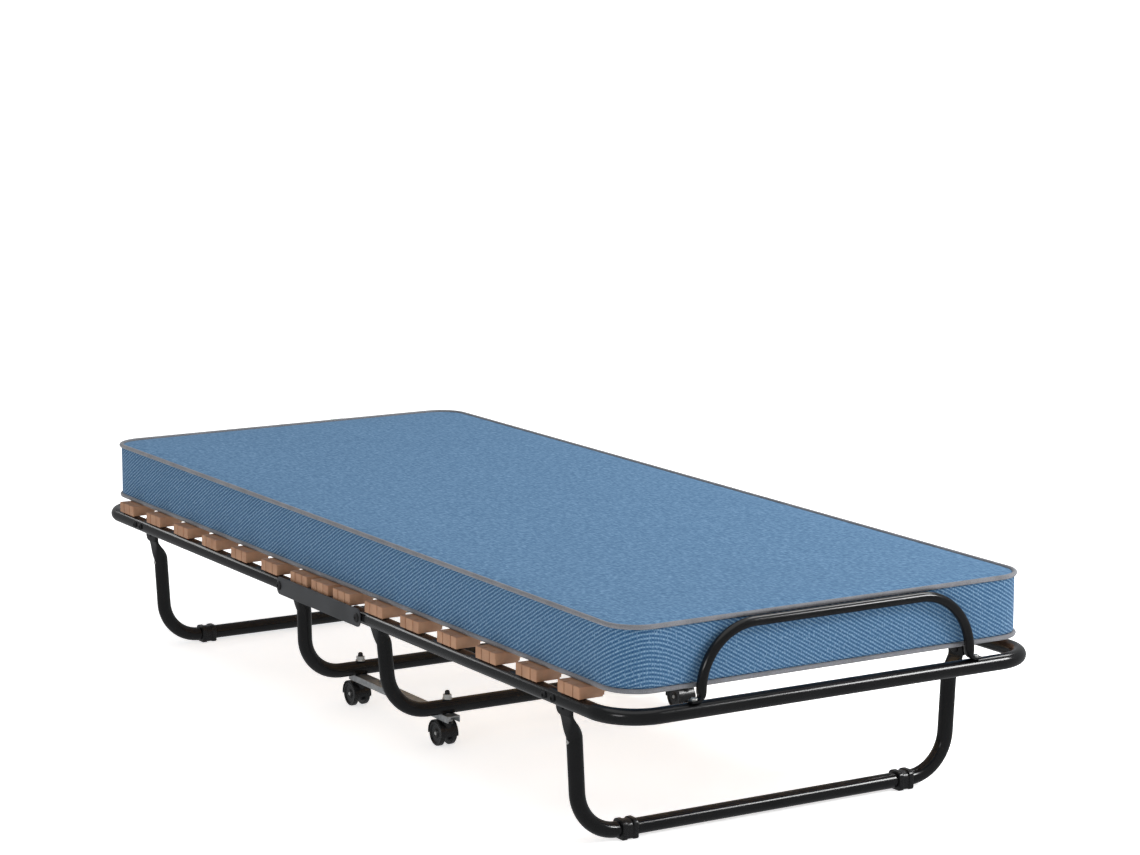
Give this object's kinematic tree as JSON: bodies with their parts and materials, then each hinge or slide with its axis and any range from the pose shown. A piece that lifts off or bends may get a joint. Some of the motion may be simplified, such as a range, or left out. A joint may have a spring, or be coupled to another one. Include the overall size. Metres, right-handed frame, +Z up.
{
  "type": "folding cot",
  "caption": "Rollaway folding bed: two slatted half-frames hinged to a castered centre trolley, with folding end legs, end loops and a foam mattress.",
  "frame": {"origin": "on the floor, under the middle of the open bed", "axes": "+X from head to foot along the bed, +Y across it, +Z up; rest pose is the bed open with its legs down"},
  "size_m": [1.9012, 0.8124, 0.3743],
  "materials": {
    "frame_tube": "gloss black powder coat",
    "loop_tube": "gloss black powder coat",
    "side_plate": "satin dark grey",
    "bracket": "satin black, zinc rivet",
    "hinge_rivet": "satin dark grey",
    "tie_bar": "galvanised",
    "zinc": "bright zinc",
    "cap_nut": "bright zinc nut with a black cap",
    "foot_plastic": "satin moulded black",
    "caster_plastic": "satin moulded black",
    "wheel_plastic": "satin moulded black",
    "slat": "clear-lacquered beech board with tan moulded caps",
    "mattress_cover": "woven cover over foam, ribbed blue sides",
    "clip_plastic": "white translucent"
  },
  "bodies": {
    "trolley": {"side_plate_front": "side_plate", "tie_bar_front": "tie_bar", "side_plate_back": "side_plate", "tie_bar_back": "tie_bar", "slat_middle_1": "slat", "slat_middle_2": "slat", "slat_middle_3": "slat", "mattress_middle": "mattress_cover", "centre_leg_foot": "frame_tube", "hinge_pin_foot_front": "hinge_rivet", "caster_stem_foot_front": "zinc", "cap_nut_foot_front": "cap_nut", "hinge_pin_foot_back": "hinge_rivet", "caster_stem_foot_back": "zinc", "cap_nut_foot_back": "cap_nut", "centre_leg_head": "frame_tube", "hinge_pin_head_front": "hinge_rivet", "caster_stem_head_front": "zinc", "cap_nut_head_front": "cap_nut", "hinge_pin_head_back": "hinge_rivet", "caster_stem_head_back": "zinc", "cap_nut_head_back": "cap_nut"},
    "half_foot": {"half_frame_foot": "frame_tube", "mattress_loop_foot": "loop_tube", "mattress_foot": "mattress_cover", "slat_foot_1": "slat", "slat_foot_2": "slat", "slat_foot_3": "slat", "slat_foot_4": "slat", "slat_foot_5": "slat", "slat_foot_6": "slat", "leg_bracket_foot_front": "bracket", "leg_bracket_foot_back": "bracket"},
    "leg_foot": {"end_leg_foot": "frame_tube", "foot_clamp_foot_front": "foot_plastic", "foot_clamp_foot_back": "foot_plastic"},
    "half_head": {"half_frame_head": "frame_tube", "mattress_loop_head": "loop_tube", "mattress_head": "mattress_cover", "slat_head_1": "slat", "slat_head_2": "slat", "slat_head_3": "slat", "slat_head_4": "slat", "slat_head_5": "slat", "slat_head_6": "slat", "leg_bracket_head_front": "bracket", "leg_bracket_head_back": "bracket"},
    "leg_head": {"end_leg_head": "frame_tube", "foot_clamp_head_front": "foot_plastic", "foot_clamp_head_back": "foot_plastic"},
    "clip": {"loop_clip": "clip_plastic"},
    "swivel_foot_front": {"caster_housing_foot_front": "caster_plastic"},
    "wheels_foot_front": {"caster_wheels_foot_front": "wheel_plastic"},
    "swivel_foot_back": {"caster_housing_foot_back": "caster_plastic"},
    "wheels_foot_back": {"caster_wheels_foot_back": "wheel_plastic"},
    "swivel_head_front": {"caster_housing_head_front": "caster_plastic"},
    "wheels_head_front": {"caster_wheels_head_front": "wheel_plastic"},
    "swivel_head_back": {"caster_housing_head_back": "caster_plastic"},
    "wheels_head_back": {"caster_wheels_head_back": "wheel_plastic"}
  },
  "joints": [
    {"name": "foot_fold", "type": "hinge", "parent": "trolley", "child": "half_foot", "pos_m": [0.145, 0, 0.24], "axis": [0, -1, 0], "range_deg": [0, 88.5]},
    {"name": "foot_leg_fold", "type": "hinge", "parent": "half_foot", "child": "leg_foot", "pos_m": [0.758, 0, 0.22], "axis": [0, 1, 0], "range_deg": [0, 90]},
    {"name": "head_fold", "type": "hinge", "parent": "trolley", "child": "half_head", "pos_m": [-0.145, 0, 0.24], "axis": [0, 1, 0], "range_deg": [0, 88.5]},
    {"name": "head_leg_fold", "type": "hinge", "parent": "half_head", "child": "leg_head", "pos_m": [-0.758, 0, 0.22], "axis": [0, -1, 0], "range_deg": [0, 90]},
    {"name": "clip_swing", "type": "hinge", "parent": "half_head", "child": "clip", "pos_m": [-0.943, 0.12, 0.363], "axis": [0, 1, 0], "range_deg": [0, 181.5]},
    {"name": "swivel_foot_front", "type": "hinge", "parent": "trolley", "child": "swivel_foot_front", "pos_m": [0.158, -0.24, 0.05], "axis": [0, 0, 1], "continuous": true},
    {"name": "roll_foot_front", "type": "hinge", "parent": "swivel_foot_front", "child": "wheels_foot_front", "pos_m": [0.143, -0.24, 0.0215], "axis": [0, 1, 0], "continuous": true},
    {"name": "swivel_foot_back", "type": "hinge", "parent": "trolley", "child": "swivel_foot_back", "pos_m": [0.158, 0.24, 0.05], "axis": [0, 0, 1], "continuous": true},
    {"name": "roll_foot_back", "type": "hinge", "parent": "swivel_foot_back", "child": "wheels_foot_back", "pos_m": [0.143, 0.24, 0.0215], "axis": [0, 1, 0], "continuous": true},
    {"name": "swivel_head_front", "type": "hinge", "parent": "trolley", "child": "swivel_head_front", "pos_m": [-0.158, -0.24, 0.05], "axis": [0, 0, 1], "continuous": true},
    {"name": "roll_head_front", "type": "hinge", "parent": "swivel_head_front", "child": "wheels_head_front", "pos_m": [-0.173, -0.24, 0.0215], "axis": [0, 1, 0], "continuous": true},
    {"name": "swivel_head_back", "type": "hinge", "parent": "trolley", "child": "swivel_head_back", "pos_m": [-0.158, 0.24, 0.05], "axis": [0, 0, 1], "continuous": true},
    {"name": "roll_head_back", "type": "hinge", "parent": "swivel_head_back", "child": "wheels_head_back", "pos_m": [-0.173, 0.24, 0.0215], "axis": [0, 1, 0], "continuous": true}
  ]
}
